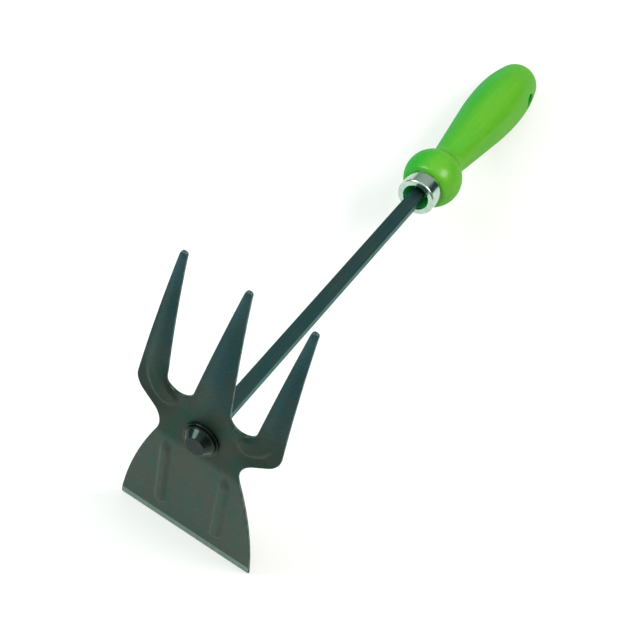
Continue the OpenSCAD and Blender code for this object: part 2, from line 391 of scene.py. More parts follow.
def tine_ridge(x, z):
    """Height of the crown that stiffens an outer tine, from its round end at the elbow to the point."""
    foot, bend, low, tip = (Vector(p) for p in ((22.6, 13.6), (29.2, 15.4), (31.7, 34.0), (TINE_X, TINE_H)))
    line = [foot.lerp(bend, t).lerp(bend.lerp(low, t), t) for t in np.linspace(0, 1, 12)] + [tip]
    d, _ = to_line(x, z, line)
    half_w = 6.4 - 4.4 * np.clip((z - GAP.y) / (TINE_H - GAP.y), 0.0, 1.0)
    q = np.clip(d / half_w, 0.0, 1.0)
    foot_share = smooth_step(34.0, 16.0, z)
    return ((1 - foot_share) * 0.21 * half_w * (1 - q * q) ** 2
            + foot_share * 1.0 * (1 - smooth_step(0.58, 1.0, q)))


def middle_crown(x, z):
    """Height of the middle tine's crown, which runs out into the flat round the rivet."""
    half_w = 10.2 - 8.2 * np.clip((z - GAP.y) / (TINE_H - GAP.y), 0.0, 1.0)
    q = np.clip(np.abs(x) / half_w, 0.0, 1.0)
    return 0.19 * half_w * (1 - q * q) ** 2 * smooth_step(12.0, 46.0, z)


def point_drop(z):
    """How far the last of each tine is rounded back at its point."""
    reach = 3.6
    return 0.75 * np.clip((z - TINE_H + reach) / reach, 0.0, 1.0) ** 2


def pressed(x, z):
    """How far the press has pushed the sheet forward at (x, z), with the slight unevenness of the sheet."""
    x, z = np.asarray(x, float), np.asarray(z, float)
    side = np.abs(x)
    high = blade_rib(side, z) + tine_ridge(side, z) + middle_crown(side, z) - point_drop(z)
    uneven = [0.02 * noise.noise(Vector((a / 19.0, 0.7, b / 31.0))) for a, b in zip(x.ravel(), z.ravel())]
    return high + np.array(uneven).reshape(x.shape) * smooth_step(-BLADE_H, BEVEL_TOP.y, z)


def inside(points, outline):
    """Which of the points lie inside a closed outline."""
    x, z = points[:, 0], points[:, 1]
    hit = np.zeros(len(points), bool)
    for a, b in zip(outline, outline[1:] + outline[:1]):
        if a.y == b.y:
            continue
        crosses = (a.y > z) != (b.y > z)
        hit ^= crosses & (x < (b.x - a.x) * (z - a.y) / (b.y - a.y) + a.x)
    return hit


def head_plate(steel, ground):
    """The pressed sheet: both faces with their relief, a rounded edge all the way round, and a ground bevel."""
    half = half_outline()
    outline = half + [Vector((-p.x, p.y)) for p in reversed(half[:-1])][:-1]
    loop = evenly(outline, EDGE_STEP, closed=True)
    n = len(loop)
    outward = []
    for i in range(n):
        d = (loop[(i + 1) % n] - loop[i - 1]).normalized()
        outward.append(Vector((-d.y, d.x)))
    if (loop[0] + outward[0]).length < loop[0].length:
        outward = [-v for v in outward]
    thick = SHEET - bevel_depth(np.array([p.y for p in loop]))
    edge_r = np.minimum(PRESSED_EDGE_R, 0.45 * thick)

    inner = [p - v * r for p, v, r in zip(loop, outward, edge_r)]
    hole_n = 48
    hole = [on_circle(Vector((0.0, 0.0)), STEM_R + HOLE_CLEAR, 360 * i / hole_n) for i in range(hole_n)]
    reach = max(p.x for p in inner if abs(p.y - BEVEL_TOP.y) < EDGE_STEP) - EDGE_STEP
    crease = [Vector((x, BEVEL_TOP.y)) for x in np.linspace(-reach, reach, round(2 * reach / EDGE_STEP))]
    row = SKIN_STEP * math.sqrt(3) / 2
    grid = np.array([(i * SKIN_STEP + (k % 2) * SKIN_STEP / 2, k * row)
                     for k in range(-int(BLADE_H / row) - 1, int(TINE_H / row) + 1)
                     for i in range(-int(BLADE_W / 2 / SKIN_STEP) - 1, int(BLADE_W / 2 / SKIN_STEP) + 1)])
    grid = grid[inside(grid, inner)]
    fixed = np.array([tuple(p) for p in inner + crease + hole])
    clear = np.array([np.min(np.hypot(*(fixed - p).T)) for p in grid])
    grid = grid[(clear > 0.55 * SKIN_STEP) & (np.hypot(*grid.T) > STEM_R + SKIN_STEP / 2)]
    points = inner + hole + crease + [Vector(p) for p in grid]
    ring_edges = [(i, (i + 1) % n) for i in range(n)]
    ring_edges += [(n + i, n + (i + 1) % hole_n) for i in range(hole_n)]
    first = n + hole_n
    ring_edges += [(first + i, first + i + 1) for i in range(len(crease) - 1)]
    made, _, faces, from_input, _, _ = delaunay_2d_cdt(points, ring_edges, [], 1, 1e-5)
    place_of = {k: i for i, ks in enumerate(from_input) for k in ks}
    x, z = np.array([p.x for p in made]), np.array([p.y for p in made])

    bm = bmesh.new()
    # How near the rounded outer edge each point is, which the steel materials use to paint their edge highlight.
    edge_highlight = bm.verts.layers.float.new("edge")
    push = pressed(x, z)
    front_y = sheet_y(z, bevel_depth(z)) - push
    back_y = sheet_y(z, np.full(z.shape, SHEET)) - push
    front = [bm.verts.new(p) for p in zip(x, front_y, z)]
    back = [bm.verts.new(p) for p in zip(x, back_y, z)]
    on_crease = {place_of[first + i] for i in range(len(crease))}
    for face in faces:
        middle = sum((made[k] for k in face), Vector((0.0, 0.0))) / len(face)
        if middle.length < STEM_R:
            continue
        skin = bm.faces.new([front[k] for k in face])
        if middle.y < BEVEL_TOP.y:
            skin.material_index = 1
        bm.faces.new([back[k] for k in reversed(face)])

    rings = [[front[place_of[i]] for i in range(n)]]
    turn_steps = (70, 48, 26, 0)
    for side in ("front", "back"):
        for degrees in turn_steps if side == "front" else reversed(turn_steps):
            a = math.radians(degrees)
            at = [p - v * (r * (1 - math.cos(a))) for p, v, r in zip(loop, outward, edge_r)]
            rx, rz = np.array([p.x for p in at]), np.array([p.y for p in at])
            rounding = edge_r * (1 - math.sin(a))
            depth = bevel_depth(rz) + rounding if side == "front" else SHEET - rounding
            ry = sheet_y(rz, depth) - pressed(rx, rz)
            ring = [bm.verts.new(p) for p in zip(rx, ry, rz)]
            for v in ring:
                v[edge_highlight] = math.cos(a)
            rings.append(ring)
    rings.append([back[place_of[i]] for i in range(n)])
    for ring, other in zip(rings, rings[1:]):
        join_rings(bm, ring, other)
    join_rings(bm, [front[place_of[n + i]] for i in range(hole_n)], [back[place_of[n + i]] for i in range(hole_n)])
    loose = [v for v in bm.verts if not v.link_faces]
    bmesh.ops.delete(bm, geom=loose, context="VERTS")
    creased = {front[k] for k in on_crease}
    for e in bm.edges:
        if e.verts[0] in creased and e.verts[1] in creased:
            e.smooth = False
    piece = piece_from("head_plate_pressed", bm, "head_steel", "head_plate", steel, ground)
    even = piece.modifiers.new("flat faces", "WEIGHTED_NORMAL")
    even.keep_sharp = True
    return piece


# ---------------------------------------------------------------- turned and drawn pieces

def washer(steel):
    """Flat round washer with lightly rounded edges."""
    hole = STEM_R + HOLE_CLEAR
    profile = filleted([
        (hole, -WASHER_T, 0.1), (WASHER_R, -WASHER_T, 0.35), (WASHER_R, 0.0, 0.15), (hole, 0.0, 0.1)])
    return crisp(piece_from("washer_turned", turned(profile), "rivet_steel", "washer", steel))


def rivet(steel):
    """Rivet: a rim with a rounded edge, a narrow land, a cone with a soft foot and a flat disc."""
    rim_front = -WASHER_T - RIVET_RIM_T
    top = rim_front - RIVET_CONE_H
    land = 0.55
    profile = filleted([
        (0.0, top, 0), (RIVET_FLAT_R, top, 0.45), (RIVET_R - land, rim_front, 0.3), (RIVET_R, rim_front, 0.3),
        (RIVET_R, -WASHER_T, 0.2), (STEM_R, -WASHER_T, 0.15), (STEM_R, STEM_DEPTH, 0.3), (0.0, STEM_DEPTH, 0)])
    return crisp(piece_from("rivet_headed", turned(profile), "rivet_steel", "rivet", steel))


def shank(steel):
    """Square bar with rounded corners, which tapers to the tang inside the handle."""
    def section(w, r, y):
        """Ring of a square with rounded corners, at a distance along the bar."""
        h = w / 2
        return [(p.x, y, p.y) for p in filleted([(h, h, r), (-h, h, r), (-h, -h, r), (h, -h, r)])]
    taper = SHANK_L + LIP_T
    end = SHANK_L + TANG_DEPTH
    soft = 0.3
    sections = [section(BAR_W - 2 * soft, BAR_CORNER_R, SHEET), section(BAR_W, BAR_CORNER_R, SHEET + soft)]
    sections += [section(BAR_W, BAR_CORNER_R, y) for y in np.linspace(SHEET + 2 * soft, taper - soft, 60)]
    sections += [section(BAR_W - 0.1, BAR_CORNER_R, taper + soft)]
    sections += [section(TANG_W, 0.2, taper + TANG_TAPER), section(TANG_W, 0.2, end - 1.0)]
    sections += [section(TANG_W - 1.0, 0.2, end)]
    bm = bmesh.new()
    rings = [[bm.verts.new(p) for p in ring] for ring in sections]
    for ring, other in zip(rings, rings[1:]):
        join_rings(bm, ring, other)
    bm.faces.new(rings[0])
    bm.faces.new(reversed(rings[-1]))
    return crisp(piece_from("shank_bar", bm, "shank_steel", "shank", steel), 40.0)


def ferrule(plating):
    """Plated cap with a rounded front edge and a round hole for the shank."""
    bore = FERRULE_R - FERRULE_T
    profile = filleted([
        (LIP_HOLE_R, 0.0, 0.4), (FERRULE_R, 0.0, 1.1), (FERRULE_R, FERRULE_L, 0.3), (bore, FERRULE_L, 0.15),
        (bore, LIP_T, 0.1), (LIP_HOLE_R, LIP_T, 0.15)], 7)
    profile = [(p.x, p.y + SHANK_L) for p in profile]
    return crisp(piece_from("ferrule_cap", turned(profile), "ferrule_plating", "ferrule", plating))


def handle_profile():
    """Half section of the handle, from its mouth round the spigot, ball, waist and grip to the butt."""
    bore = FERRULE_R - FERRULE_T
    ball = Vector((0.0, BALL_Y))
    reach = WAIST_R + WAIST_CURVE_R
    waist = Vector((reach, BALL_Y + math.sqrt((BALL_R + WAIST_CURVE_R) ** 2 - reach ** 2)))
    grip_front, grip_back = Vector((GRIP_R - GRIP_FRONT_R, GRIP_Y)), Vector((GRIP_R - GRIP_BACK_R, GRIP_Y))
    ball_start = math.degrees(math.asin((FERRULE_L - BALL_Y) / BALL_R))
    waist_join = direction_angle(waist - ball)
    rise = normal_angle(waist, grip_front, WAIST_CURVE_R + GRIP_FRONT_R, 1)
    butt_join = math.degrees(math.atan2(BUTT_Y - GRIP_Y, GRIP_BACK_R - GRIP_R))
    shoulder_r = 0.9
    outer = (arc(ball, BALL_R, ball_start + math.degrees(shoulder_r / BALL_R), waist_join)
             + arc(waist, WAIST_CURVE_R, waist_join + 180, rise)
             + arc(grip_front, GRIP_FRONT_R, rise + 180, 360)
             + arc(grip_back, GRIP_BACK_R, 0, butt_join)
             + arc(Vector((0.0, BUTT_Y)), BUTT_R, butt_join, 90))
    shoulder = on_circle(ball, BALL_R, ball_start)
    start = [Vector((0.0, LIP_T + TANG_TAPER)), Vector((MOUTH_FLOOR_R, LIP_T + TANG_TAPER)),
             Vector((MOUTH_R, LIP_T)), Vector((bore - 0.2, LIP_T)), Vector((bore, LIP_T + 0.2)),
             Vector((bore, FERRULE_L)), Vector((shoulder.x - shoulder_r / 2, FERRULE_L + 0.05))]
    return start + evenly(outer, 0.8)


def handle(lacquer):
    """Turned wood with a drilled hanging hole and a square pocket for the tang."""
    profile = [(max(0.0, p.x), p.y + SHANK_L) for p in handle_profile()]
    profile[-1] = (0.0, profile[-1][1])
    piece = piece_from("handle_turned", turned(profile, 192), "handle_lacquer", "handle", lacquer)
    for cutter in (hanging_drill(), tang_pocket()):
        drilled(piece, cutter)
    piece.data.set_sharp_from_angle(angle=math.radians(32))
    return piece


def hanging_drill():
    """The drill that makes the hanging hole across the handle, with its softly rounded mouths."""
    surface = GRIP_R - GRIP_BACK_R + math.sqrt(GRIP_BACK_R ** 2 - (HANG_Y - GRIP_Y) ** 2)
    depth, flare = 1.6, 0.8
    side = [Vector((HANG_R + t * t * flare, surface - depth + depth * t)) for t in np.linspace(0, 1, 8)]
    half = [Vector((HANG_R, 0.0))] + side + [Vector((HANG_R + 4 * flare, 2 * GRIP_R)), Vector((0.0, 2 * GRIP_R))]
    profile = [Vector((p.x, -p.y)) for p in reversed(half)] + half[1:]
    bm = turned([tuple(p) for p in profile], 96)
    bmesh.ops.rotate(bm, verts=bm.verts, matrix=Matrix.Rotation(math.radians(-90), 3, "Z"))
    bmesh.ops.rotate(bm, verts=bm.verts, matrix=Matrix.Rotation(math.radians(-HANG_TURN), 3, "Y"))
    bmesh.ops.translate(bm, verts=bm.verts, vec=(0.0, SHANK_L + HANG_Y, 0.0))
    return bm


def tang_pocket():
    """The square pocket that the tang fits in."""
    half = TANG_W / 2 + HOLE_CLEAR
    bm = bmesh.new()
    bmesh.ops.create_cube(bm, size=1.0)
    bmesh.ops.scale(bm, verts=bm.verts, vec=(2 * half, TANG_DEPTH + HOLE_CLEAR, 2 * half))
    bmesh.ops.translate(bm, verts=bm.verts, vec=(0.0, SHANK_L + (TANG_DEPTH + HOLE_CLEAR) / 2, 0.0))
    return bm


def drilled(piece, bm):
    """Cuts a shape drawn in millimetres out of a piece, for good."""
    drill = placed("drill", bm)
    cut = piece.modifiers.new("drilled", "BOOLEAN")
    cut.operation, cut.solver, cut.object = "DIFFERENCE", "EXACT", drill
    bpy.context.view_layer.update()
    ready = piece.evaluated_get(bpy.context.evaluated_depsgraph_get())
    made = bpy.data.meshes.new_from_object(ready)
    piece.modifiers.remove(cut)
    bpy.data.objects.remove(drill)
    piece.data = made


# ---------------------------------------------------------------- shared effects, as node groups

def new_group(name, inputs, outputs):
    """A node group with its inputs as (name, kind, value) and its outputs as (name, kind)."""
    tree = bpy.data.node_groups.new(name, "ShaderNodeTree")
    for socket, kind, value in inputs:
        made = tree.interface.new_socket(socket, in_out="INPUT", socket_type=kind)
        if value is not None:
            made.default_value = value
    for socket, kind in outputs:
        tree.interface.new_socket(socket, in_out="OUTPUT", socket_type=kind)
    return tree, tree.nodes.new("NodeGroupInput"), tree.nodes.new("NodeGroupOutput")


def add(tree, kind, **settings):
    """Adds a node and sets the properties that are named."""
    node = tree.nodes.new(kind)
    for key, value in settings.items():
        setattr(node, key, value)
    return node


def link(tree, source, target):
    """Links an output to an input."""
    tree.links.new(source, target)


def scaled(tree, vector, by):
    """A vector multiplied part by part."""
    node = add(tree, "ShaderNodeVectorMath", operation="MULTIPLY")
    link(tree, vector, node.inputs[0])
    node.inputs[1].default_value = by
    return node.outputs[0]


def remapped(tree, value, low, high, to_low=0.0, to_high=1.0):
    """A value eased from one range to another, and held at its ends."""
    node = add(tree, "ShaderNodeMapRange")
    node.interpolation_type = "SMOOTHSTEP"
    link(tree, value, node.inputs["Value"])
    for key, number in (("From Min", low), ("From Max", high), ("To Min", to_low), ("To Max", to_high)):
        node.inputs[key].default_value = number
    return node.outputs["Result"]


def math_node(tree, operation, a, b=None, clamp=False):
    """The result of one sum, whose terms are numbers or outputs."""
    node = add(tree, "ShaderNodeMath", operation=operation, use_clamp=clamp)
    for socket, value in zip(node.inputs, (a, b)):
        if value is None:
            continue
        if isinstance(value, (int, float)):
            socket.default_value = value
        else:
            link(tree, value, socket)
    return node.outputs[0]


def mixed(tree, share, a, b, blend="MIX"):
    """A blend of two colours, which are outputs or plain colours."""
    node = add(tree, "ShaderNodeMix", data_type="RGBA", blend_type=blend)
    for socket, value in ((node.inputs[0], share), (node.inputs[6], a), (node.inputs[7], b)):
        if isinstance(value, (int, float)):
            socket.default_value = value
        elif isinstance(value, tuple):
            socket.default_value = (*value, 1.0) if len(value) == 3 else value
        else:
            link(tree, value, socket)
    return node.outputs[2]


def cloud(tree, vector, size, detail=3.0, roughness=0.55):
    """Soft noise whose blotches are about size millimetres wide."""
    node = add(tree, "ShaderNodeTexNoise")
    link(tree, vector, node.inputs["Vector"])
    node.inputs["Scale"].default_value = 1.0 / size
    node.inputs["Detail"].default_value = detail
    node.inputs["Roughness"].default_value = roughness
    return node.outputs["Fac"]


def lines_group():
    """Fine parallel lines, as a tool or a die leaves them: noise that is squeezed across and drawn out along Y."""
    tree, given, out = new_group(
        "Drawn lines", [("Vector", "NodeSocketVector", None), ("Pitch", "NodeSocketFloat", 0.3),
                        ("Length", "NodeSocketFloat", 30.0)],
        [("Lines", "NodeSocketFloat")])
    parts = add(tree, "ShaderNodeSeparateXYZ")
    link(tree, given.outputs["Vector"], parts.inputs[0])
    whole = add(tree, "ShaderNodeCombineXYZ")
    for axis, by in (("X", "Pitch"), ("Y", "Length"), ("Z", "Pitch")):
        link(tree, math_node(tree, "DIVIDE", parts.outputs[axis], given.outputs[by]), whole.inputs[axis])
    fine = add(tree, "ShaderNodeTexNoise")
    link(tree, whole.outputs[0], fine.inputs["Vector"])
    fine.inputs["Scale"].default_value = 1.0
    fine.inputs["Detail"].default_value = 3.0
    link(tree, fine.outputs["Fac"], out.inputs["Lines"])
    return tree


def scratch_group():
    """Sparse hair-thin scratches that run in two directions, broken up by blotches."""
    tree, given, out = new_group(
        "Hair scratches", [("Vector", "NodeSocketVector", None), ("Width", "NodeSocketFloat", 0.25),
                           ("Amount", "NodeSocketFloat", 0.5)],
        [("Scratches", "NodeSocketFloat")])
    total = None
    for turn in (28.0, -54.0):
        turned_by = add(tree, "ShaderNodeVectorRotate", rotation_type="Y_AXIS")
        link(tree, given.outputs["Vector"], turned_by.inputs["Vector"])
        turned_by.inputs["Angle"].default_value = math.radians(turn)
        parts = add(tree, "ShaderNodeSeparateXYZ")
        link(tree, turned_by.outputs[0], parts.inputs[0])
        whole = add(tree, "ShaderNodeCombineXYZ")
        link(tree, math_node(tree, "DIVIDE", parts.outputs["X"], given.outputs["Width"]), whole.inputs["X"])
        link(tree, math_node(tree, "DIVIDE", parts.outputs["Z"], 14.0), whole.inputs["Z"])
        fine = add(tree, "ShaderNodeTexNoise")
        link(tree, whole.outputs[0], fine.inputs["Vector"])
        fine.inputs["Scale"].default_value = 1.0
        fine.inputs["Detail"].default_value = 1.0
        hair = remapped(tree, fine.outputs["Fac"], 0.68, 0.76)
        total = hair if total is None else math_node(tree, "MAXIMUM", total, hair)
    patches = remapped(tree, cloud(tree, given.outputs["Vector"], 17.0), 0.45, 0.65)
    broken = math_node(tree, "MULTIPLY", total, patches)
    link(tree, math_node(tree, "MULTIPLY", broken, given.outputs["Amount"], clamp=True), out.inputs["Scratches"])
    return tree


def edge_highlight_group():
    """Paints a highlight along the rounded edge of the sheet, broken up in patches."""
    tree, given, out = new_group(
        "Painted edge highlight", [("Vector", "NodeSocketVector", None), ("Edge", "NodeSocketFloat", 0.0),
                      ("Amount", "NodeSocketFloat", 0.5)],
        [("Highlight", "NodeSocketFloat")])
    patches = remapped(tree, cloud(tree, given.outputs["Vector"], 5.0, 4.0), 0.4, 0.62)
    lit_edge_patches = math_node(tree, "MULTIPLY", remapped(tree, given.outputs["Edge"], 0.35, 1.0), patches)
    link(tree, math_node(tree, "MULTIPLY", lit_edge_patches, given.outputs["Amount"], clamp=True), out.inputs["Highlight"])
    return tree


LINES, SCRATCHES, EDGE_HIGHLIGHT = lines_group(), scratch_group(), edge_highlight_group()


# ---------------------------------------------------------------- materials

def new_material(name):
    """A material, its Principled shader and its own coordinates in the tool frame, in millimetres."""
    material = bpy.data.materials.new(name)
    material.use_nodes = True
    tree = material.node_tree
    tree.nodes.clear()
    shader, out = add(tree, "ShaderNodeBsdfPrincipled"), add(tree, "ShaderNodeOutputMaterial")
    link(tree, shader.outputs[0], out.inputs["Surface"])
    place = add(tree, "ShaderNodeMapping", vector_type="TEXTURE")
    link(tree, add(tree, "ShaderNodeTexCoord").outputs["Object"], place.inputs["Vector"])
    place.inputs["Location"].default_value = STAND.to_translation()
    place.inputs["Rotation"].default_value = (-STAND_A, 0.0, 0.0)
    place.inputs["Scale"].default_value = (MM, MM, MM)
    return material, tree, shader, place.outputs["Vector"]


def grouped(tree, group, output, **inputs):
    """One output of a node group, with its inputs given by name."""
    node = add(tree, "ShaderNodeGroup")
    node.node_tree = group
    for key, value in inputs.items():
        if isinstance(value, (int, float)):
            node.inputs[key].default_value = value
        else:
            link(tree, value, node.inputs[key])
    return node.outputs[output]


def bumped(tree, shader, height, distance):
    """Gives a shader a fine relief, whose depth is in millimetres."""
    node = add(tree, "ShaderNodeBump")
    node.inputs["Strength"].default_value = 1.0
    node.inputs["Distance"].default_value = distance * MM
    link(tree, height, node.inputs["Height"])
    link(tree, node.outputs[0], shader.inputs["Normal"])


def edge_value(tree):
    """How near the outer edge of the pressed sheet a point is, from 0 to 1."""
    return add(tree, "ShaderNodeAttribute", attribute_name="edge").outputs["Fac"]


def tempered_steel():
    """Sheet steel with a dark lacquered temper: green-grey, with brown and blue tints that drift over it, and a
    painted highlight in patches along its rounded edges.
    """
    material, tree, shader, place = new_material("tempered_sheet_steel")
    parts = add(tree, "ShaderNodeSeparateXYZ")
    link(tree, place, parts.inputs[0])
    blotch = remapped(tree, cloud(tree, scaled(tree, place, (1.0, 1.0, 0.5)), 9.0, 5.0), 0.36, 0.64)
    warm = mixed(tree, blotch, (0.012, 0.046, 0.037), (0.032, 0.042, 0.030))
    across = math_node(tree, "ABSOLUTE", parts.outputs["X"])
    elbow = math_node(tree, "MULTIPLY", remapped(tree, across, 15.0, 27.0),
                      math_node(tree, "MULTIPLY", remapped(tree, parts.outputs["Z"], -4.0, 4.0),
                                remapped(tree, parts.outputs["Z"], 42.0, 20.0)))
    warm = mixed(tree, math_node(tree, "MULTIPLY", elbow, 0.6), warm, (0.004, 0.016, 0.010))
    drift = remapped(tree, cloud(tree, place, 13.0, 3.0), 0.4, 0.62, 0.5, 1.0)
    cool = mixed(tree, drift, warm, (0.010, 0.048, 0.056))
    tip = mixed(tree, remapped(tree, parts.outputs["Z"], 70.0, TINE_H), cool, (0.030, 0.075, 0.085))
    colour = mixed(tree, remapped(tree, parts.outputs["Z"], 16.0, 56.0), warm, tip)
    speckle = remapped(tree, cloud(tree, place, 0.9, 4.0), 0.3, 0.7, 0.86, 1.14)
    colour = mixed(tree, 1.0, colour, speckle, "MULTIPLY")
    hair = grouped(tree, SCRATCHES, "Scratches", Vector=place, Width=0.22, Amount=0.25)
    # Painted highlight: the rounded edges of the sheet are painted lighter in patches, standing in for the light they
    # catch. The hair scratches are real marks.
    edge_highlight = grouped(tree, EDGE_HIGHLIGHT, "Highlight", Vector=place, Edge=edge_value(tree), Amount=0.5)
    bright = math_node(tree, "MAXIMUM", hair, edge_highlight)
    link(tree, mixed(tree, bright, colour, (0.13, 0.18, 0.16)), shader.inputs["Base Color"])
    shader.inputs["Metallic"].default_value = 0.6
    shader.inputs["Specular IOR Level"].default_value = 0.25
    shader.inputs["Specular Tint"].default_value = (0.78, 0.90, 0.83, 1.0)
    rough = remapped(tree, cloud(tree, place, 3.0, 4.0), 0.3, 0.7, 0.40, 0.44)
    rough = math_node(tree, "SUBTRACT", rough, math_node(tree, "MULTIPLY", bright, 0.1))
    link(tree, rough, shader.inputs["Roughness"])
    grain = math_node(tree, "ADD", cloud(tree, place, 0.35, 2.0), math_node(tree, "MULTIPLY", hair, -0.6))
    bumped(tree, shader, grain, 0.008)
    return material


def ground_steel():
    """Bright bevel, with the lines that the grinding wheel left across it."""
    material, tree, shader, place = new_material("ground_bevel_steel")
    lines = cloud(tree, scaled(tree, place, (1.0, 0.0, 0.06)), 0.28, 3.0)
    broad = cloud(tree, scaled(tree, place, (1.0, 0.0, 0.1)), 3.0, 2.0)
    tone = mixed(tree, remapped(tree, broad, 0.35, 0.65), (0.065, 0.155, 0.105), (0.085, 0.190, 0.130))
    colour = mixed(tree, 1.0, tone, remapped(tree, lines, 0.3, 0.7, 0.8, 1.2), "MULTIPLY")
    # Painted highlight: lighter in patches along the rounded edge of the sheet, for the light it catches.
    edge_highlight = grouped(tree, EDGE_HIGHLIGHT, "Highlight", Vector=place, Edge=edge_value(tree), Amount=0.5)
    link(tree, mixed(tree, edge_highlight, colour, (0.2, 0.28, 0.24)), shader.inputs["Base Color"])
    shader.inputs["Metallic"].default_value = 0.9
    shader.inputs["Specular IOR Level"].default_value = 0.3
    link(tree, remapped(tree, lines, 0.3, 0.7, 0.32, 0.44), shader.inputs["Roughness"])
    bumped(tree, shader, lines, 0.008)
    return material


def rivet_steel():
    """Dark oiled steel with the rings that the heading die left."""
    material, tree, shader, place = new_material("oiled_rivet_steel")
    parts = add(tree, "ShaderNodeSeparateXYZ")
    link(tree, place, parts.inputs[0])
    square = math_node(tree, "ADD", math_node(tree, "POWER", parts.outputs["X"], 2.0),
                       math_node(tree, "POWER", parts.outputs["Z"], 2.0))
    radius = math_node(tree, "SQRT", square)
    ring_place = add(tree, "ShaderNodeCombineXYZ")
    link(tree, radius, ring_place.inputs["X"])
    rings = cloud(tree, ring_place.outputs[0], 0.45, 2.0)
    blotch = remapped(tree, cloud(tree, place, 4.0, 4.0), 0.35, 0.65)
    colour = mixed(tree, blotch, (0.012, 0.026, 0.024), (0.022, 0.030, 0.026))
    colour = mixed(tree, 1.0, colour, remapped(tree, rings, 0.3, 0.7, 0.9, 1.1), "MULTIPLY")
    hair = grouped(tree, SCRATCHES, "Scratches", Vector=place, Width=0.16, Amount=0.2)
    link(tree, mixed(tree, hair, colour, (0.08, 0.11, 0.10)), shader.inputs["Base Color"])
    shader.inputs["Metallic"].default_value = 0.7
    shader.inputs["Specular IOR Level"].default_value = 0.3
    link(tree, remapped(tree, cloud(tree, place, 2.5, 3.0), 0.3, 0.7, 0.15, 0.2), shader.inputs["Roughness"])
    bumped(tree, shader, rings, 0.0015)
    return material


def bar_steel():
    """Dark blue-grey lacquered bar, with lines drawn along it by the die."""
    material, tree, shader, place = new_material("drawn_bar_steel")
    lines = grouped(tree, LINES, "Lines", Vector=place, Pitch=0.5, Length=90.0)
    blotch = remapped(tree, cloud(tree, scaled(tree, place, (1.0, 0.35, 1.0)), 9.0, 4.0), 0.35, 0.65)
    colour = mixed(tree, blotch, (0.028, 0.074, 0.080), (0.040, 0.078, 0.076))
    colour = mixed(tree, 1.0, colour, remapped(tree, lines, 0.3, 0.7, 0.93, 1.07), "MULTIPLY")
    hair = grouped(tree, SCRATCHES, "Scratches", Vector=place, Width=0.2, Amount=0.2)
    link(tree, mixed(tree, hair, colour, (0.11, 0.16, 0.17)), shader.inputs["Base Color"])
    shader.inputs["Metallic"].default_value = 0.75
    shader.inputs["Specular IOR Level"].default_value = 0.15
    shader.inputs["Specular Tint"].default_value = (0.40, 0.62, 0.56, 1.0)
    link(tree, remapped(tree, cloud(tree, place, 5.0, 3.0), 0.3, 0.7, 0.3, 0.38), shader.inputs["Roughness"])
    bumped(tree, shader, lines, 0.004)
    return material


def zinc_plating():
    """Bright zinc with faint lines round it and small cloudy patches."""
    material, tree, shader, place = new_material("bright_zinc_plating")
    around = grouped(tree, LINES, "Lines", Vector=scaled(tree, place, (0.05, 60.0, 0.05)), Pitch=1.0, Length=8.0)
    blotch = remapped(tree, cloud(tree, place, 3.5, 4.0), 0.35, 0.65)
    colour = mixed(tree, blotch, (0.42, 0.58, 0.47), (0.52, 0.65, 0.56))
    colour = mixed(tree, 1.0, colour, remapped(tree, around, 0.3, 0.7, 0.95, 1.04), "MULTIPLY")
    link(tree, colour, shader.inputs["Base Color"])
    shader.inputs["Metallic"].default_value = 1.0
    link(tree, remapped(tree, cloud(tree, place, 1.6, 4.0), 0.3, 0.7, 0.11, 0.19), shader.inputs["Roughness"])
    bumped(tree, shader, around, 0.003)
    return material


